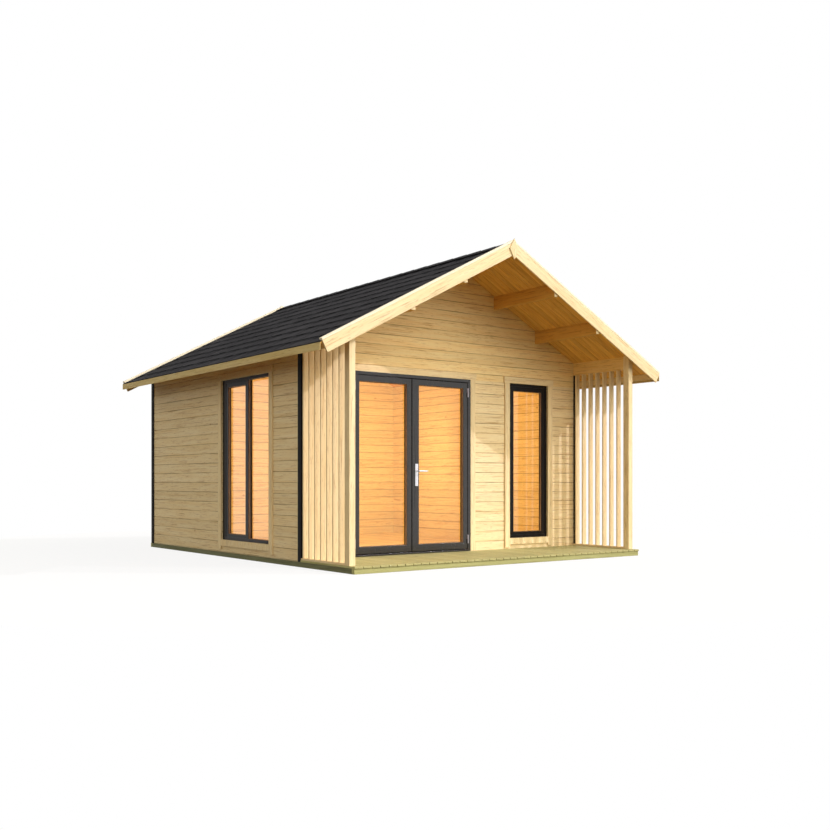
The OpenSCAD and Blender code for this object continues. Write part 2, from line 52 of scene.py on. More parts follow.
ROOF_PITCH = math.radians(27.63)
TAN_P, COS_P, SIN_P = math.tan(ROOF_PITCH), math.cos(ROOF_PITCH), math.sin(ROOF_PITCH)
BASE_H = 0.054
FIRST_COURSE = 0.1214
COURSE = 0.1154
ROOF_T = 0.019
SHINGLE_T = 0.008
COVER_N = ROOF_T + SHINGLE_T
HEAD_Z = 2.06

# Places that the frame gives

ROOF_LOW, ROOF_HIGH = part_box("roof_boards_right")
SHINGLE_LOW, SHINGLE_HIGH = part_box("shingles_right")
STRIP_LOW, STRIP_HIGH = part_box("verge_strips_right")
RIDGE_Z = ROOF_HIGH.z - ROOF_T / COS_P
FRONT_WALL_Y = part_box("front_wall_left")[0].y
BACK_ROOM_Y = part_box("back_wall")[0].y
SIDE_ROOM_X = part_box("right_wall")[0].x

# Sockets of the Mix node: its share, then the two inputs and the output for colours and for vectors

MIX_SHARE = 0
COLOUR_A, COLOUR_B, COLOUR_OUT = 6, 7, 2
VECTOR_A, VECTOR_B, VECTOR_OUT = 4, 5, 1

# Levels between which most of a noise pattern lies

NOISE_LEVELS = (0.2, 0.8)


class Tree:
    """Shorthand for building the node tree of a material or of the world."""

    def __init__(self, owner):
        owner.use_nodes = True
        self.tree = owner.node_tree

    def add(self, kind, inputs=None, **settings):
        node = self.tree.nodes.new("ShaderNode" + kind)
        for key, value in settings.items():
            setattr(node, key, value)
        for key, value in (inputs or {}).items():
            self.put(node.inputs[key], value)
        return node

    def put(self, socket, value):
        if isinstance(value, bpy.types.NodeSocket):
            self.tree.links.new(value, socket)
        else:
            socket.default_value = value

    def place(self):
        """Coordinates of a point in its own piece."""
        return self.add("TexCoord").outputs["Object"]

    def math(self, operation, a, b=0.0):
        return self.add("Math", {0: a, 1: b}, operation=operation).outputs[0]

    def vector(self, operation, a, b):
        return self.add("VectorMath", {0: a, 1: b}, operation=operation).outputs[0]

    def mix(self, share, a, b):
        node = self.add("Mix", {MIX_SHARE: share, COLOUR_A: a, COLOUR_B: b}, data_type="RGBA")
        return node.outputs[COLOUR_OUT]

    def smooth(self, value, low, high, start=0.0, end=1.0):
        settings = {"Value": value, "From Min": low, "From Max": high, "To Min": start, "To Max": end}
        return self.add("MapRange", settings, interpolation_type="SMOOTHSTEP").outputs[0]

    def noise(self, vector, stretch, detail, rough=0.55):
        place = self.vector("MULTIPLY", vector, stretch)
        settings = {"Vector": place, "Scale": 1.0, "Detail": detail, "Roughness": rough}
        return self.add("TexNoise", settings).outputs[0]

    def roughen(self, shader, pattern, low, high):
        """Let the roughness of a surface waver with a noise pattern."""
        self.put(shader.inputs["Roughness"], self.smooth(pattern, *NOISE_LEVELS, low, high))

    def emboss(self, shader, height, strength, depth):
        """Raise a pattern from the surface as bump."""
        bump = self.add("Bump", {"Height": height, "Strength": strength, "Distance": depth})
        self.put(shader.inputs["Normal"], bump.outputs[0])


def rgb(red, green, blue):
    """A screen colour of 0 to 255 a channel as the linear colour that shaders take."""
    parts = [c / 255 for c in (red, green, blue)]
    return tuple(c / 12.92 if c <= 0.04045 else ((c + 0.055) / 1.055) ** 2.4 for c in parts) + (1.0,)


def new_material(name):
    material = bpy.data.materials.new(name)
    tree = Tree(material)
    return material, tree, tree.tree.nodes["Principled BSDF"]


# Timber: turns that lay the grain along X

ALONG_X = (0.0, 0.0, 0.0)
ALONG_Y = (0.0, 0.0, -math.pi / 2)
ALONG_Z = (0.0, math.pi / 2, 0.0)
DOWN_RIGHT = (0.0, -ROOF_PITCH, 0.0)
DOWN_LEFT = (0.0, ROOF_PITCH, 0.0)

# Timber: patterns, each with its stretch along and across the grain, its detail,
# the levels between which it comes in and the share of its tint

Pattern = namedtuple("Pattern", "stretch detail low high share")

FIGURE = Pattern((0.55, 8.0, 8.0), 2.0, 0.55, 1.0, 0.25)
FIBRES = Pattern((7.0, 240.0, 240.0), 3.0, 0.45, 0.8, 0.25)
DASHES = Pattern((3.0, 90.0, 90.0), 3.0, 0.53, 0.72, 0.5)
TICKS = Pattern((11.0, 160.0, 160.0), 2.0, 0.58, 0.74, 0.5)
FIGURE_RINGS = 9.0
STREAKS = (1.3, 26.0, 26.0)
STREAK_DETAIL = 5.0
STREAK_BREAK = 0.6
STREAK_LEVELS = (0.3, 0.75)
STREAK_SHARES = (0.15, 0.85)
KNOT_CELLS = (4.2, 9.0, 9.0)
KNOT_EDGE = (0.14, 0.03)
KNOT_SHARE = 0.55
BOARD_SHIFT = (41.0, 17.0, 1.0)
WOOD_ROUGH = (0.5, 0.72)
WOOD_SHINE = 0.18
FIBRE_RELIEF = 0.5

# Timber: joints between stacked boards, with their edges given as distances from the joint

JOINT_SHADE = rgb(112, 76, 38)
JOINT_EDGE = (0.005, 0.0015)
OPEN_JOINTS = (2.1, 4.0, 4.0)
OPEN_LEVELS = (0.38, 0.62)
OPEN_SHARES = (0.15, 0.75)
ROOM_JOINT_EDGE = (0.006, 0.003)
ROOM_JOINT_SHARE = 0.4
GROOVE_PLAY = 0.012


def inside_room(t, spot):
    """1 on the faces that line the room, from the separated coordinates of a point."""
    across = t.math("LESS_THAN", t.math("ABSOLUTE", spot.outputs[0]), SIDE_ROOM_X + GROOVE_PLAY)
    behind = t.math("GREATER_THAN", spot.outputs[1], FRONT_WALL_Y + 2 * GROOVE_PLAY)
    before = t.math("LESS_THAN", spot.outputs[1], BACK_ROOM_Y + GROOVE_PLAY)
    return t.math("MULTIPLY", across, t.math("MULTIPLY", behind, before))


def along_grain(t, place, height, grain, cross_above):
    """Coordinates turned so that the grain runs along X."""
    along = t.add("Mapping", {"Vector": place, "Rotation": grain}).outputs[0]
    if cross_above is None:
        return along
    across = t.math("GREATER_THAN", height, cross_above)
    turned = t.add("Mix", data_type="VECTOR")
    for socket, value in ((MIX_SHARE, across), (VECTOR_A, along), (VECTOR_B, place)):
        t.put(turned.inputs[socket], value)
    return turned.outputs[VECTOR_OUT]


def board_tone(t, height, course):
    """A random number for each board, and the distance to the nearest joint where boards are stacked."""
    if course is None:
        return t.add("NewGeometry").outputs["Random Per Island"], None
    first, pitch = course
    step = t.math("DIVIDE", t.math("SUBTRACT", height, first), pitch)
    tone = t.add("TexWhiteNoise", {"W": t.math("FLOOR", step)}, noise_dimensions="1D").outputs[0]
    return tone, t.math("MULTIPLY", t.math("PINGPONG", step, 0.5), pitch)


def knot_spots(t, place, knots):
    """1 in the middle of a knot. The higher knots is, the fewer cells of the pattern hold one."""
    cells = t.add("TexVoronoi", {"Vector": t.vector("MULTIPLY", place, KNOT_CELLS), "Scale": 1.0})
    drawn = t.add("SeparateColor", {0: cells.outputs["Color"]}).outputs[0]
    picked = t.math("GREATER_THAN", drawn, knots)
    return t.math("MULTIPLY", t.smooth(cells.outputs["Distance"], *KNOT_EDGE), picked)


def joint_lines(t, place, spot, joint):
    """Share of shade along the joints: broken lines, and even ones on the faces that line the room."""
    open_share = t.smooth(t.noise(place, OPEN_JOINTS, detail=3.0), *OPEN_LEVELS, *OPEN_SHARES)
    broken = t.math("MULTIPLY", t.smooth(joint, *JOINT_EDGE), open_share)
    even = t.smooth(joint, *ROOM_JOINT_EDGE, 0.0, ROOM_JOINT_SHARE)
    return t.math("MAXIMUM", broken, t.math("MULTIPLY", even, inside_room(t, spot)))


def wood(name, light, dark, knot, grain, course=None, spread=0.045, knots=0.9, cross_above=None):
    """Timber with streaks along its grain, a tone of its own for each board, growth figure and a few knots.
    course gives the height of the first joint and the pitch where one solid stands for stacked boards.
    Over the height cross_above the grain runs across instead, as in the head of a casing."""
    material, t, shader = new_material(name)
    place = t.place()
    spot = t.add("SeparateXYZ", {0: place})
    height = spot.outputs[2]
    tone, joint = board_tone(t, height, course)
    moves = {axis: t.math("MULTIPLY", tone, far) for axis, far in enumerate(BOARD_SHIFT)}
    shift = t.add("CombineXYZ", moves)
    place = t.vector("ADD", along_grain(t, place, height, grain, cross_above), shift.outputs[0])
    streak = t.noise(place, STREAKS, STREAK_DETAIL, STREAK_BREAK)
    fibre = t.noise(place, FIBRES.stretch, FIBRES.detail)
    rings = t.math("MULTIPLY", t.noise(place, FIGURE.stretch, FIGURE.detail), FIGURE_RINGS)
    figure = t.math("PINGPONG", rings, 1.0)
    dashes = t.noise(place, DASHES.stretch, DASHES.detail)
    ticks = t.noise(place, TICKS.stretch, TICKS.detail)
    knot_share = knot_spots(t, place, knots)
    layers = [(figure, FIGURE, dark), (fibre, FIBRES, dark), (dashes, DASHES, knot), (ticks, TICKS, knot)]
    colour = t.mix(t.smooth(streak, *STREAK_LEVELS, *STREAK_SHARES), light, dark)
    for noise, pattern, tint in layers:
        colour = t.mix(t.smooth(noise, pattern.low, pattern.high, 0.0, pattern.share), colour, tint)
    colour = t.mix(t.math("MULTIPLY", knot_share, KNOT_SHARE), colour, knot)
    value = t.add("MapRange", {"Value": tone, "To Min": 1.0 - spread, "To Max": 1.0 + spread}).outputs[0]
    colour = t.add("HueSaturation", {"Color": colour, "Value": value}).outputs[0]
    if course:
        colour = t.mix(joint_lines(t, place, spot, joint), colour, JOINT_SHADE)
    t.put(shader.inputs["Base Color"], colour)
    t.roughen(shader, streak, *WOOD_ROUGH)
    relief = t.math("ADD", t.math("MULTIPLY", fibre, FIBRE_RELIEF), t.math("SUBTRACT", streak, knot_share))
    t.emboss(shader, relief, strength=0.3, depth=0.0015)
    shader.inputs["Specular IOR Level"].default_value = WOOD_SHINE
    return material


# Other finishes

PAINT_CLOUDS = (3.0, 3.0, 3.0)
PAINT_GRAIN = (120.0, 120.0, 18.0)
DUST_LEVELS = (0.35, 0.75)
PAINT_SMOOTHER, PAINT_ROUGHER = 0.06, 0.1
GRANULES = (420.0, 420.0, 420.0)
ROOF_CLOUDS = (5.0, 5.0, 5.0)
TAB_SHARE, CLOUD_SHARE = 0.55, 0.45
# Dark band under each butt edge: the shingles' printed shadow line and painted shade of the butt above
BUTT_SHADE_WAVER = 0.12
BUTT_SHADE_EDGE = (0.34, 0.2)
BUTT_SHADE_SHARE = 0.85
GRANULE_LEVELS = (0.45, 0.7)
GRANULE_SHARE = 0.35
SHINGLE_ROUGH = (0.8, 0.95)
SHINGLE_SHINE = 0.05
SCRATCHES = (900.0, 900.0, 30.0)
SMUDGES = (40.0, 40.0, 40.0)
SMUDGE_SHARE = 0.3
STEEL_ROUGHER = 0.16
PANE_WAVES = (1.2, 1.2, 1.2)
PANE_FILM = (9.0, 9.0, 9.0)
FILM_LEVELS = (0.3, 0.8)
FILM_ROUGH = (0.0, 0.02)
PANE_TINT = (0.98, 0.99, 0.985, 1.0)
RUBBER_GRIT = (200.0, 200.0, 200.0)
RUBBER_ROUGH = (0.65, 0.85)


def paint(name, colour, worn, rough, shine):
    """Satin paint on planed timber: faint grain, a little dust and uneven gloss."""
    material, t, shader = new_material(name)
    place = t.place()
    cloud = t.noise(place, PAINT_CLOUDS, detail=5.0)
    fine = t.noise(place, PAINT_GRAIN, detail=3.0)
    t.put(shader.inputs["Base Color"], t.mix(t.smooth(cloud, *DUST_LEVELS), colour, worn))
    t.roughen(shader, fine, rough - PAINT_SMOOTHER, rough + PAINT_ROUGHER)
    t.emboss(shader, fine, strength=0.12, depth=0.001)
    shader.inputs["Specular IOR Level"].default_value = shine
    return material


def shingle(name, dark, light, band, slope_start, pitch):
    """Mineral bitumen: granules, a tone of its own for each tab and a dark band under each butt edge, which
    is both the shingles' printed shadow line and painted shade of the butt above.
    """
    material, t, shader = new_material(name)
    place = t.place()
    across = t.math("ABSOLUTE", t.add("SeparateXYZ", {0: place}).outputs[0])
    course = t.math("DIVIDE", t.math("SUBTRACT", t.math("DIVIDE", across, COS_P), slope_start), pitch)
    tone = t.add("NewGeometry").outputs["Random Per Island"]
    granules = t.noise(place, GRANULES, detail=2.0)
    cloud = t.noise(place, ROOF_CLOUDS, detail=4.0)
    share = t.math("ADD", t.math("MULTIPLY", tone, TAB_SHARE), t.math("MULTIPLY", cloud, CLOUD_SHARE))
    colour = t.mix(share, dark, light)
    edge = t.math("SUBTRACT", t.math("FRACT", course), t.math("MULTIPLY", cloud, BUTT_SHADE_WAVER))
    colour = t.mix(t.smooth(edge, *BUTT_SHADE_EDGE, 0.0, BUTT_SHADE_SHARE), colour, band)
    colour = t.mix(t.smooth(granules, *GRANULE_LEVELS, 0.0, GRANULE_SHARE), colour, light)
    t.put(shader.inputs["Base Color"], colour)
    t.roughen(shader, granules, *SHINGLE_ROUGH)
    t.emboss(shader, granules, strength=0.5, depth=0.0015)
    shader.inputs["Specular IOR Level"].default_value = SHINGLE_SHINE
    return material


def steel(name, colour, smudged, rough):
    """Brushed metal: fine scratches along the height and smudges in the colour."""
    material, t, shader = new_material(name)
    place = t.place()
    brushed = t.noise(place, SCRATCHES, detail=2.0)
    smudge = t.noise(place, SMUDGES, detail=3.0)
    t.put(shader.inputs["Base Color"], t.mix(t.math("MULTIPLY", smudge, SMUDGE_SHARE), colour, smudged))
    t.roughen(shader, brushed, rough, rough + STEEL_ROUGHER)
    t.emboss(shader, brushed, strength=0.1, depth=0.0004)
    shader.inputs["Metallic"].default_value = 1.0
    return material


def glass(name, ior):
    """Window glass with the faint waviness of real panes."""
    material, t, shader = new_material(name)
    place = t.place()
    t.emboss(shader, t.noise(place, PANE_WAVES, detail=1.0), strength=0.05, depth=0.002)
    film = t.noise(place, PANE_FILM, detail=3.0)
    t.put(shader.inputs["Roughness"], t.smooth(film, *FILM_LEVELS, *FILM_ROUGH))
    shader.inputs["Base Color"].default_value = PANE_TINT
    shader.inputs["Transmission Weight"].default_value = 1.0
    shader.inputs["IOR"].default_value = ior
    return material


def rubber(name, colour, worn):
    """Dull sealing strip."""
    material, t, shader = new_material(name)
    grit = t.noise(t.place(), RUBBER_GRIT, detail=2.0)
    t.put(shader.inputs["Base Color"], t.mix(grit, colour, worn))
    t.roughen(shader, grit, *RUBBER_ROUGH)
    return material


# Tones of timber: light wood, dark wood and knots

PINE = (rgb(246, 229, 190), rgb(236, 209, 159), rgb(164, 112, 60))
# Painted shade: a warmer, darker copy of pine that paints shade and warm bounce light onto the porch beams
WARM_SHADE_PINE = (rgb(244, 210, 144), rgb(232, 190, 118), rgb(150, 98, 48))
# Painted shade: an orange, darker copy of pine for the purlins, whose sides sit in shade under the roof
SHADED = (rgb(228, 178, 94), rgb(212, 158, 75), rgb(142, 87, 38))
# Painted shade: an orange, darker copy of pine for the roof boards seen from below as soffit
SOFFIT_SHADE_PINE = (rgb(250, 200, 108), rgb(208, 152, 70), rgb(140, 84, 36))
TREATED = (rgb(192, 188, 136), rgb(172, 166, 112), rgb(120, 108, 66))
RIM = (rgb(180, 180, 126), rgb(162, 160, 106), rgb(114, 104, 64))
# Painted light: a warmer copy of pine that paints warm bounce light into the gable in the shade of the roof
GABLE_WARM_SHADE = (rgb(252, 231, 178), rgb(246, 211, 148), rgb(168, 112, 56))
# Painted light: a paler copy of pine for the verge strips
PALE_LIT_PINE = (rgb(252, 245, 226), rgb(247, 236, 208), rgb(196, 160, 116))
# Painted shade: a duller, darker copy of pine for the eaves strips
EAVES_SHADE_PINE = (rgb(218, 197, 140), rgb(208, 180, 118), rgb(150, 110, 60))
# A darker, greener copy of the treated timber for the bearers
DARK_BEARER_TONE = (rgb(118, 120, 84), rgb(96, 98, 66), rgb(70, 66, 44))
COURSES = (BASE_H + FIRST_COURSE, COURSE)

M = {
    "wall_x": wood("wall_boards_across", *PINE, ALONG_X, COURSES),
    "gable": wood("gable_boards_warm_shade", *GABLE_WARM_SHADE, ALONG_X, COURSES),
    "wall_y": wood("wall_boards_along", *PINE, ALONG_Y, COURSES),
    "pine_z": wood("upright_pine", *PINE, ALONG_Z),
    "pine_y": wood("pine_along", *PINE, ALONG_Y),
    "casing": wood("casing_pine", *PINE, ALONG_Z, knots=0.93, spread=0.05, cross_above=HEAD_Z),
    "verge_left": wood("verge_pine_left", *PINE, DOWN_LEFT, spread=0.05),
    "verge_right": wood("verge_pine_right", *PINE, DOWN_RIGHT, spread=0.05),
    # The roof boards take the painted-shade soffit tone
    "roof_left": wood("roof_boards_left", *SOFFIT_SHADE_PINE, DOWN_LEFT, spread=0.06),
    "roof_right": wood("roof_boards_right", *SOFFIT_SHADE_PINE, DOWN_RIGHT, spread=0.06),
    "strip_left": wood("strip_pine_left_lit", *PALE_LIT_PINE, DOWN_LEFT, spread=0.03),
    "strip_right": wood("strip_pine_right_lit", *PALE_LIT_PINE, DOWN_RIGHT, spread=0.03),
    "eaves": wood("eaves_pine_shaded", *EAVES_SHADE_PINE, ALONG_Y, spread=0.03),
    "purlin": wood("purlin_pine_shaded", *SHADED, ALONG_Y, knots=0.93),
    "beam": wood("beam_pine_warm_shade", *WARM_SHADE_PINE, ALONG_Y),
    "deck": wood("deck_boards", *TREATED, ALONG_Y, spread=0.08),
    "rim": wood("rim_board", *RIM, ALONG_X, spread=0.08),
    "bearer": wood("bearers", *DARK_BEARER_TONE, ALONG_Y, spread=0.08),
    "floor": wood("floor_boards", *PINE, ALONG_Y, spread=0.12),
    "door": paint("door_paint", rgb(32, 29, 28), rgb(40, 36, 34), rough=0.2, shine=0.7),
    # Painted shade: the window frames take a darker copy of the frame paint than the doors
    "window": paint("window_paint_shaded", rgb(13, 9, 8), rgb(20, 15, 13), rough=0.35, shine=0.2),
    # Painted light: pale paint on the beads stands in for the light on the reveals of the dark frames
    "bead": paint("bead_paint_lit", rgb(150, 118, 94), rgb(170, 136, 108), rough=0.45, shine=0.3),
    "trim": paint("black_trim_paint", rgb(14, 12, 11), rgb(22, 19, 17), rough=0.6, shine=0.08),
    "steel": steel("brushed_steel", rgb(236, 236, 238), rgb(190, 190, 192), rough=0.42),
    "hinge": steel("hinge_steel", rgb(196, 190, 196), rgb(150, 146, 150), rough=0.55),
    "glass": glass("window_glass", ior=1.5),
    "seal": rubber("seal_rubber", rgb(18, 18, 19), rgb(34, 34, 35)),
}

# Finishes of the CAD nodes, with the width of the bevel that takes off each arris

SHARP = 0.0
ARRIS = 0.003
FINE_ARRIS = 0.002
TRIM_ARRIS = 0.0015
METAL_ARRIS = 0.0008
PURLIN_ARRIS = 0.012
ARRIS_ANGLE = math.radians(35)
WELD_DIST = 0.00002
END_FACING = 0.9

NODE_LOOKS = [
    ("wall_x", SHARP, ["front_wall_left", "front_wall_right", "back_wall"]),
    ("gable", SHARP, ["front_gable"]),
    ("wall_y", SHARP, ["left_wall", "right_wall"]),
    ("pine_z", ARRIS, ["porch_posts", "screen_fins", "peak_covers"]),
    ("pine_y", ARRIS, ["screen_rails", "eaves_boards"]),
    ("beam", ARRIS, ["porch_beams"]),
    ("purlin", PURLIN_ARRIS, ["purlins"]),
    ("casing", FINE_ARRIS, ["door_casing", "window_casings"]),
    ("verge_left", ARRIS, ["bargeboards_left"]),
    ("verge_right", ARRIS, ["bargeboards_right"]),
    ("strip_left", ARRIS, ["verge_strips_left"]),
    ("strip_right", ARRIS, ["verge_strips_right"]),
    ("rim", ARRIS, ["base_rims"]),
    ("bearer", ARRIS, ["base_bearers"]),
    ("trim", TRIM_ARRIS, ["corner_trims"]),
    ("door", FINE_ARRIS, ["door_jambs", "door_head", "door_threshold", "left_leaf", "right_leaf"]),
    ("window", FINE_ARRIS, ["front_window_frame", "side_window_frame", "window_sashes"]),
    ("hinge", METAL_ARRIS, ["door_hinge_pins", "left_leaf_hinges", "right_leaf_hinges"]),
    ("steel", METAL_ARRIS, ["handle_plates"]),
    ("steel", SHARP, ["lever_handle"]),
    ("glass", SHARP, ["left_leaf_glass", "right_leaf_glass", "window_glass"]),
]


def soften(piece, width):
    """Round the arrises of a piece whose faces come in split."""
    weld = piece.modifiers.new("weld", "WELD")
    weld.merge_threshold = WELD_DIST
    bevel = piece.modifiers.new("arris", "BEVEL")
    bevel.width = width
    bevel.segments = 2
    bevel.limit_method = "ANGLE"
    bevel.angle_limit = ARRIS_ANGLE
    bevel.use_clamp_overlap = True
    normals = piece.modifiers.new("normals", "WEIGHTED_NORMAL")
    normals.keep_sharp = False


def dress(node, material):
    piece = NODES[node]
    piece.data.materials.clear()
    piece.data.materials.append(material)


def finish_ends(node, material):
    """Give both ends of a piece that runs along Y a finish of their own."""
    piece = NODES[node]
    piece.data.materials.append(material)
    for face in piece.data.polygons:
        face.material_index = int(abs(face.normal.y) > END_FACING)


for look, bevel_width, names in NODE_LOOKS:
    for node_name in names:
        dress(node_name, M[look])
        if bevel_width:
            soften(NODES[node_name], bevel_width)

# The purlins' ends keep plain pine; only their sides carry the painted shade of the shaded tone
finish_ends("purlins", M["pine_y"])

# Meshes


def loft(shape, rings):
    """Closed solid through rings of points that have the same count."""
    rows = [[shape.verts.new(p) for p in ring] for ring in rings]
    for low, high in zip(rows, rows[1:]):
        for i in range(len(low)):
            shape.faces.new((low[i - 1], low[i], high[i], high[i - 1]))
    shape.faces.new(reversed(rows[0]))
    shape.faces.new(rows[-1])


def block(shape, low, high):
    """Straight block between two corners."""
    corners = [(low[0], low[1]), (high[0], low[1]), (high[0], high[1]), (low[0], high[1])]
    loft(shape, [[(x, y, z) for x, y in corners] for z in (low[2], high[2])])


def piece_from(name, shape, material, body="house", stands_for=(), bevel=0.0):
    """Turn a bmesh into a piece that rides on a body."""
    bmesh.ops.recalc_face_normals(shape, faces=shape.faces)
    mesh = bpy.data.meshes.new(name)
    shape.to_mesh(mesh)
    shape.free()
    mesh.materials.append(material)
    piece = bpy.data.objects.new(name, mesh)
    bpy.context.scene.collection.objects.link(piece)
    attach(piece, body)
    if stands_for:
        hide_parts(*stands_for)
    if bevel:
        soften(piece, bevel)


def slope_point(side, s, y, n):
    """Point at a distance s down the slope and a height n over the underside of the roof boards."""
    return (side * (s * COS_P + n * SIN_P), y, RIDGE_Z - s * SIN_P + n * COS_P)


# Roof boards, which show from below as a boarded soffit with a joint over the face of the front wall

SOFFIT_PITCH = 0.0875
SOFFIT_JOINT = 0.0008
SOFFIT_CHAMFER = 0.005
BOARD_FOOT = 0.0002
SLIVER_SHARE = 0.25


def board_starts(low, high, phase, pitch):
    """Both edges of each board in a row that fills a span, with a joint at the phase and no sliver."""
    first = math.floor((low - phase) / pitch)
    edges = [phase + k * pitch for k in range(first, math.ceil((high - phase) / pitch) + 1)]
    sliver = pitch * SLIVER_SHARE
    edges = [low] + [e for e in edges if low + sliver < e < high - sliver] + [high]
    return list(zip(edges, edges[1:]))


def roof_boards(side, name, material):
    shape = bmesh.new()
    for low, high in board_starts(ROOF_LOW.y, ROOF_HIGH.y, FRONT_WALL_Y, SOFFIT_PITCH):
        a, b = low + SOFFIT_JOINT / 2, high - SOFFIT_JOINT / 2
        c = SOFFIT_CHAMFER
        section = [
            (a + c, BOARD_FOOT), (b - c, BOARD_FOOT), (b, BOARD_FOOT + c),
            (b, ROOF_T), (a, ROOF_T), (a, BOARD_FOOT + c),
        ]
        ends = [(0.0, RIDGE_Z), (ROOF_HIGH.x, RIDGE_Z - ROOF_HIGH.x * TAN_P)]
        loft(shape, [[(side * x, y, z + n / COS_P) for y, n in section] for x, z in ends])
    stands_for = ["roof_boards_right" if side > 0 else "roof_boards_left"]
    piece_from(name, shape, material, stands_for=stands_for)


roof_boards(1, "soffit_boards_right", M["roof_right"])
roof_boards(-1, "soffit_boards_left", M["roof_left"])

# Thin boards along the edge of the eaves, which cover the ends of the roof boards and hang below them

EDGE_T = 0.006
EDGE_DROP = 0.043


def eaves_strips():
    shape = bmesh.new()
    x0, x1 = ROOF_HIGH.x, ROOF_HIGH.x + EDGE_T
    for side in (-1, 1):
        section = []
        for x, n in ((x0, -EDGE_DROP), (x1, -EDGE_DROP), (x1, ROOF_T), (x0, ROOF_T)):
            section.append((side * x, RIDGE_Z - x * TAN_P + n / COS_P))
        loft(shape, [[(x, y, z) for x, z in section] for y in (ROOF_LOW.y, ROOF_HIGH.y)])
    piece_from("eaves_edge_strips", shape, M["eaves"])


eaves_strips()

# Shingles: courses with a thick butt edge and tabs of uneven width laid on each course

COURSE_PITCH = 0.2605
CAP_EDGE = 0.115
LAP = 0.05
TOP_EDGE = 0.02
TOP_START = 0.004
FEATHER_T = 0.001
BUTT_T = 0.0065
TAB_T = 0.005
TAB_RISE = 0.004
TAB_W = (0.14, 0.36)
TAB_GAP = (0.02, 0.15)
TAB_DROP = (0.0, 0.006)
SHINGLE_PLAY = 0.0003
SHINGLE_FOOT = ROOF_T + SHINGLE_PLAY
STRIP_W = 0.046
STRIP_PLAY = 0.002
EAVE_S = (SHINGLE_HIGH.x - COVER_N * SIN_P) / COS_P

SHINGLE_TONES = (rgb(33, 33, 36), rgb(61, 60, 64), rgb(12, 12, 15))
M["shingle"] = shingle("bitumen_shingle", *SHINGLE_TONES, CAP_EDGE, COURSE_PITCH)


def wedge(shape, side, s0, s1, y0, y1, foot, rise):
    """Layer on the slope that gets thicker from its upper edge s0 to its butt edge s1."""
    section = [(s0, foot), (s1, foot), (s1, foot + rise), (s0, foot + FEATHER_T)]
    loft(shape, [[slope_point(side, s, y, n) for s, n in section] for y in (y0, y1)])


def course_edges():
    """Upper and lower edge of each course, from the eaves up to the ridge."""
    lower = [EAVE_S]
    edge = CAP_EDGE + COURSE_PITCH * math.floor((EAVE_S - CAP_EDGE - COURSE_PITCH / 2) / COURSE_PITCH)
    while edge > CAP_EDGE + COURSE_PITCH / 2:
        lower.append(edge)
        edge -= COURSE_PITCH
    return list(zip(lower[1:] + [TOP_EDGE], lower))


def shingle_slope(side, name):
    shape = bmesh.new()
    y0, y1 = SHINGLE_LOW.y, SHINGLE_HIGH.y
    inner0, inner1 = STRIP_LOW.y + STRIP_W + STRIP_PLAY, STRIP_HIGH.y - STRIP_W - STRIP_PLAY
    for upper, lower in course_edges():
        wedge(shape, side, max(upper - LAP, TOP_START), lower, y0, y1, SHINGLE_FOOT, BUTT_T)
        y = inner0
        while y < inner1:
            end = min(y + DRAW.uniform(*TAB_W), inner1)
            if end - y > TAB_W[0] / 2:
                butt = lower - DRAW.uniform(*TAB_DROP)
                wedge(shape, side, upper - LAP / 2, butt, y, end, SHINGLE_FOOT + TAB_RISE, TAB_T)
            y = end + DRAW.uniform(*TAB_GAP)
    stands_for = ["shingles_right" if side > 0 else "shingles_left"]
    piece_from(name, shape, M["shingle"], stands_for=stands_for)


shingle_slope(1, "shingle_courses_right")
shingle_slope(-1, "shingle_courses_left")

# Ridge cap: short pieces folded over the ridge, each lapped by the next

CAP_LEN = 0.25
CAP_LAP = 0.03
CAP_LIFT = 0.004
CAP_T = 0.004
CAP_PLAY = 0.0035
CAP_FOOT = COVER_N + CAP_PLAY


def cap_fold(y, n):
    """Line folded over the ridge, from the left to the right edge of the cap."""
    return [slope_point(-1, CAP_EDGE, y, n), (0.0, y, RIDGE_Z + n / COS_P), slope_point(1, CAP_EDGE, y, n)]


def ridge_cap():
    shape = bmesh.new()
    low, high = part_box("ridge_cap")
    count = round((high.y - low.y) / CAP_LEN)
    step = (high.y - low.y) / count
    for k in range(count):
        y0, y1 = low.y + k * step, min(low.y + (k + 1) * step + CAP_LAP, high.y)
        rings = []
        for y, foot in ((y0, CAP_FOOT + CAP_LIFT), (y1, CAP_FOOT)):
            rings.append(cap_fold(y, foot) + cap_fold(y, foot + CAP_T)[::-1])
        loft(shape, rings)
    piece_from("ridge_cap_pieces", shape, M["shingle"], stands_for=["ridge_cap"])


ridge_cap()

# Deck and floor boards

DECK_PITCH = 0.0987
DECK_PHASE = -1.917
DECK_GAP = 0.0085
DECK_REACH = 0.012
DECK_ARRIS = 0.002
FLOOR_GAP = 0.001
FLOOR_ARRIS = 0.0015


def board_floor(node, name, material, phase, pitch, gap, bevel, reach=0.0):
    """Boards that run from front to back in place of one slab and may reach a little past its front."""
    shape = bmesh.new()
    low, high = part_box(node)
    for a, b in board_starts(low.x, high.x, phase, pitch):
        left = a if a == low.x else a + gap / 2
        right = b if b == high.x else b - gap / 2
        block(shape, (left, low.y - reach, low.z), (right, high.y, high.z))
    piece_from(name, shape, material, stands_for=[node], bevel=bevel)


board_floor(
    "porch_deck", "deck_planks", M["deck"],
    phase=DECK_PHASE, pitch=DECK_PITCH, gap=DECK_GAP, bevel=DECK_ARRIS, reach=DECK_REACH,
)
board_floor(
    "floor", "floor_planks", M["floor"],
    phase=0.0, pitch=SOFFIT_PITCH, gap=FLOOR_GAP, bevel=FLOOR_ARRIS,
)

# Seals round each pane and the pale beads that line its frame on the outside; the beads' pale paint is
# painted light on the dark reveals

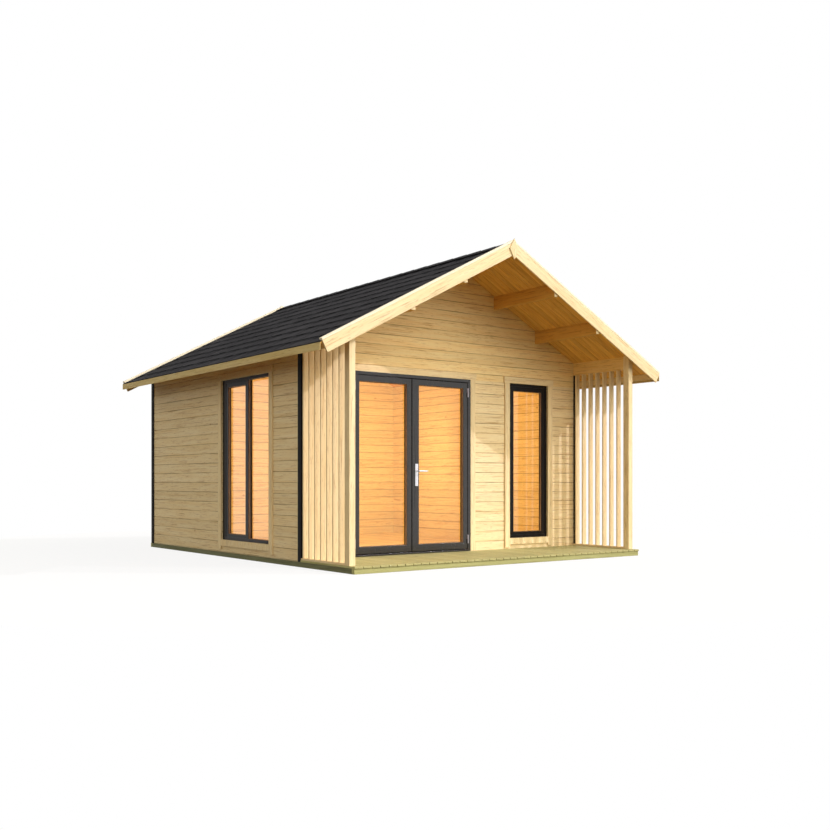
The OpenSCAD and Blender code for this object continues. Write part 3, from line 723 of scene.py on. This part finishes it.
SEAL_W = 0.004
SEAL_D = 0.004
BEAD_W = 0.0015
BEAD_D = {"door": 0.036, "window": 0.028}
PANE_SEAT = 0.0117


def pane_frames(node):
    """Bounds of each pane of a node, from its separate solids."""
    shape = bmesh.new()
    shape.from_mesh(NODES[node].data)
    bmesh.ops.remove_doubles(shape, verts=shape.verts, dist=WELD_DIST)
    left, found = set(shape.verts), []
    while left:
        group, todo = set(), [left.pop()]
        while todo:
            vert = todo.pop()
            group.add(vert)
            near = [e.other_vert(vert) for e in vert.link_edges]
            todo += [v for v in near if v in left]
            left -= set(near)
        axes = list(zip(*(v.co for v in group)))
        found.append((Vector(min(a) for a in axes), Vector(max(a) for a in axes)))
    shape.free()
    return sorted(found, key=lambda box: (round(box[0].x, 3), round(box[0].y, 3)))


def edging(shape, low, high, flat, face, depth, width):
    """Four strips inside a pane's daylight edge, on one face of it. flat is the pane's thin axis."""
    wide = 1 - flat
    d0, d1 = sorted((face, face + depth))
    u0, u1 = low[wide] + PANE_SEAT, high[wide] - PANE_SEAT
    z0, z1 = low.z + PANE_SEAT, high.z - PANE_SEAT
    bars = [(u0, u0 + width, z0, z1), (u1 - width, u1, z0, z1)]
    bars += [(u0 + width, u1 - width, z0, z0 + width), (u0 + width, u1 - width, z1 - width, z1)]
    for a, b, c, d in bars:
        near, far = [0.0, 0.0, c], [0.0, 0.0, d]
        near[wide], far[wide] = a, b
        near[flat], far[flat] = d0, d1
        block(shape, near, far)


def glaze(node, body, name, kind):
    """Seals on both faces of the panes of one node, and beads on the outer one."""
    seals, beads = bmesh.new(), bmesh.new()
    for low, high in pane_frames(node):
        flat = 0 if high.x - low.x < high.y - low.y else 1
        for face, out in ((low[flat], -1), (high[flat], 1)):
            edging(seals, low, high, flat, face, out * SEAL_D, SEAL_W)
        edging(beads, low, high, flat, low[flat] - SEAL_D, -BEAD_D[kind] + SEAL_D, BEAD_W)
    piece_from(name + "_seals", seals, M["seal"], body)
    piece_from(name + "_beads", beads, M["bead"], body)


glaze("left_leaf_glass", "left_door", "left_leaf", "door")
glaze("right_leaf_glass", "right_door", "right_leaf", "door")
glaze("window_glass", "house", "window", "window")

# Handle fittings: plate screws and the lock cylinder under the lever

SCREW_R = 0.004
SCREW_H = 0.0014
SCREW_INSET = 0.018
LOCK_DROP = 0.092
LOCK_R = 0.0085
LOCK_OUT = 0.004
DISC_SIDES = 20
DISC_TOP_SHARE = 0.92
DISC_ARRIS = 0.0003


def disc(shape, x, y, z, radius, out):
    """Short round stud that stands out along Y and narrows a little."""
    turns = [2 * math.pi * k / DISC_SIDES for k in range(DISC_SIDES)]
    rings = []
    for depth, r in ((y, radius), (y + out, radius * DISC_TOP_SHARE)):
        rings.append([(x + r * math.cos(a), depth, z + r * math.sin(a)) for a in turns])
    loft(shape, rings)


def handle_fittings():
    shape = bmesh.new()
    low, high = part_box("handle_plates")
    x = (low.x + high.x) / 2
    lock_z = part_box("lever_handle")[0].z - LOCK_DROP + LOCK_R
    for y, out in ((low.y, -1), (high.y, 1)):
        for z in (low.z + SCREW_INSET, high.z - SCREW_INSET):
            disc(shape, x, y, z, SCREW_R, out * SCREW_H)
        disc(shape, x, y, lock_z, LOCK_R, out * LOCK_OUT)
    piece_from("handle_fittings", shape, M["steel"], "right_door", bevel=DISC_ARRIS)


handle_fittings()

# Stage: the floor and the world, both white where they show

WHITE = (1.0, 1.0, 1.0, 1.0)
FLOOR_R = 6.8
FLOOR_SIDES = 96
FLOOR_DROP = 0.001
FLOOR_BOUNCE = (0.18, 0.145, 0.07, 1.0)
SHADOW_FLOOR = (0.9, 0.9, 0.9, 1.0)
SHADOW_SHARE = 0.14
FIRST_BOUNCE = 0.5
SKY_TONE = (1.0, 0.94, 0.8, 1.0)
LOW_SKY, HIGH_SKY = 0.86, 0.2
SKY_BAND = (0.6, 0.85)
GROUND_BAND = (-0.03, 0.05)
BELOW_SHARE = 0.06
GLOW_TOWARDS = Vector((0.5, -0.78, 0.4))
GLOW_EDGE = (0.55, 1.0)
GLOW = 2.5


def background_rays(t):
    """1 for rays that show the background: from the camera, in reflections, and through panes
    before any diffuse bounce."""
    path = t.add("LightPath").outputs
    through = t.math("LESS_THAN", path["Diffuse Depth"], FIRST_BOUNCE)
    through = t.math("MULTIPLY", through, path["Is Transmission Ray"])
    seen = t.math("MAXIMUM", path["Is Camera Ray"], through)
    return t.math("MAXIMUM", seen, path["Is Glossy Ray"])


def studio_floor():
    """White floor that keeps a soft shadow and throws a little warm light back on the object."""
    place = (0, 0, -FLOOR_DROP)
    bpy.ops.mesh.primitive_circle_add(vertices=FLOOR_SIDES, radius=FLOOR_R, fill_type="NGON", location=place)
    floor = bpy.context.object
    floor.name = "studio_floor"
    material = bpy.data.materials.new("studio_floor")
    t = Tree(material)
    nodes = t.tree.nodes
    nodes.remove(nodes["Principled BSDF"])
    plain = t.add("BsdfDiffuse", {"Color": FLOOR_BOUNCE})
    shadow = t.add("BsdfDiffuse", {"Color": SHADOW_FLOOR})
    white = t.add("Emission", {"Color": WHITE, "Strength": 1.0})
    shown = t.add("MixShader", {0: SHADOW_SHARE, 1: white.outputs[0], 2: shadow.outputs[0]})
    whole = t.add("MixShader", {0: background_rays(t), 1: plain.outputs[0], 2: shown.outputs[0]})
    t.put(nodes["Material Output"].inputs[0], whole.outputs[0])
    floor.data.materials.append(material)


def world_light():
    """White to the camera, in reflections and through glass; soft warm light on the object."""
    world = bpy.data.worlds.new("studio")
    bpy.context.scene.world = world
    t = Tree(world)
    direction = t.add("TexCoord").outputs["Generated"]
    height = t.add("SeparateXYZ", {0: direction}).outputs[2]
    near = t.add("VectorMath", {0: direction, 1: GLOW_TOWARDS.normalized()}, operation="DOT_PRODUCT")
    glow = t.smooth(near.outputs["Value"], *GLOW_EDGE, 0.0, GLOW)
    glow = t.math("ADD", t.smooth(height, *SKY_BAND, LOW_SKY, HIGH_SKY), glow)
    glow = t.math("MULTIPLY", t.smooth(height, *GROUND_BAND, BELOW_SHARE, 1.0), glow)
    soft = t.add("Background", {"Color": SKY_TONE, "Strength": glow})
    white = t.add("Background", {"Color": WHITE, "Strength": 1.0})
    whole = t.add("MixShader", {0: background_rays(t), 1: soft.outputs[0], 2: white.outputs[0]})
    t.put(t.tree.nodes["World Output"].inputs[0], whole.outputs[0])


studio_floor()
world_light()

# Lamps: the sun, and warm light in the room. Each lamp's back faces the direction behind

SUN_POWER = 1.7
SUN_TONE = (1.0, 0.955, 1.06)
SUN_PLACE = (6, -6, 6)
SUN_BEHIND = (1.154, -1.0, 1.073)
SUN_WIDTH = math.radians(0.7)

RoomLamp = namedtuple("RoomLamp", "name power tone place behind width height")

ROOM_LAMPS = [
    RoomLamp("room_front", 44.0, (1.0, 0.72, 0.26), (-0.3, -1.3, 1.25), (0, -1, 0), 2.2, 1.8),
    RoomLamp("room_side", 36.0, (1.0, 0.7, 0.23), (-1.85, -0.5, 1.25), (-1, 0, 0), 2.2, 1.8),
    RoomLamp("room_corner", 12.0, (1.0, 0.76, 0.3), (1.0, 0.8, 1.4), (0.0, -1.0, 0.1), 1.0, 1.0),
]


def lamp(name, kind, power, tone, place, behind, **settings):
    """Lamp that shines away from the direction behind it. Only the sun shows in reflections."""
    data = bpy.data.lights.new(name, kind)
    data.energy = power
    data.color = tone
    for key, value in settings.items():
        setattr(data, key, value)
    lamp_object = bpy.data.objects.new(name, data)
    lamp_object.location = place
    lamp_object.rotation_euler = Vector(behind).to_track_quat("Z", "Y").to_euler()
    bpy.context.scene.collection.objects.link(lamp_object)
    lamp_object.visible_camera = False
    lamp_object.visible_transmission = False
    lamp_object.visible_glossy = kind == "SUN"


lamp("key", "SUN", SUN_POWER, SUN_TONE, SUN_PLACE, SUN_BEHIND, angle=SUN_WIDTH)
for room in ROOM_LAMPS:
    sizes = dict(shape="RECTANGLE", size=room.width, size_y=room.height)
    lamp(room.name, "AREA", room.power, room.tone, room.place, room.behind, **sizes)

# Camera: level, with the photo's heading, lens and shift

CAMERA_PLACE = (-7.1493, -10.2886, 0.8815)
CAMERA_TURN = (math.radians(90.0), 0.0, math.radians(-36.884))
SENSOR_W = 36.0
LENS = 42.834
SHIFT_UP = 0.07985


def photo_camera():
    camera = bpy.data.cameras.new("camera")
    camera.sensor_width = SENSOR_W
    camera.lens = LENS
    camera.shift_y = SHIFT_UP
    camera_object = bpy.data.objects.new("camera", camera)
    camera_object.location = CAMERA_PLACE
    camera_object.rotation_euler = CAMERA_TURN
    bpy.context.scene.collection.objects.link(camera_object)
    bpy.context.scene.camera = camera_object


photo_camera()
bpy.context.scene.view_settings.view_transform = "Standard"
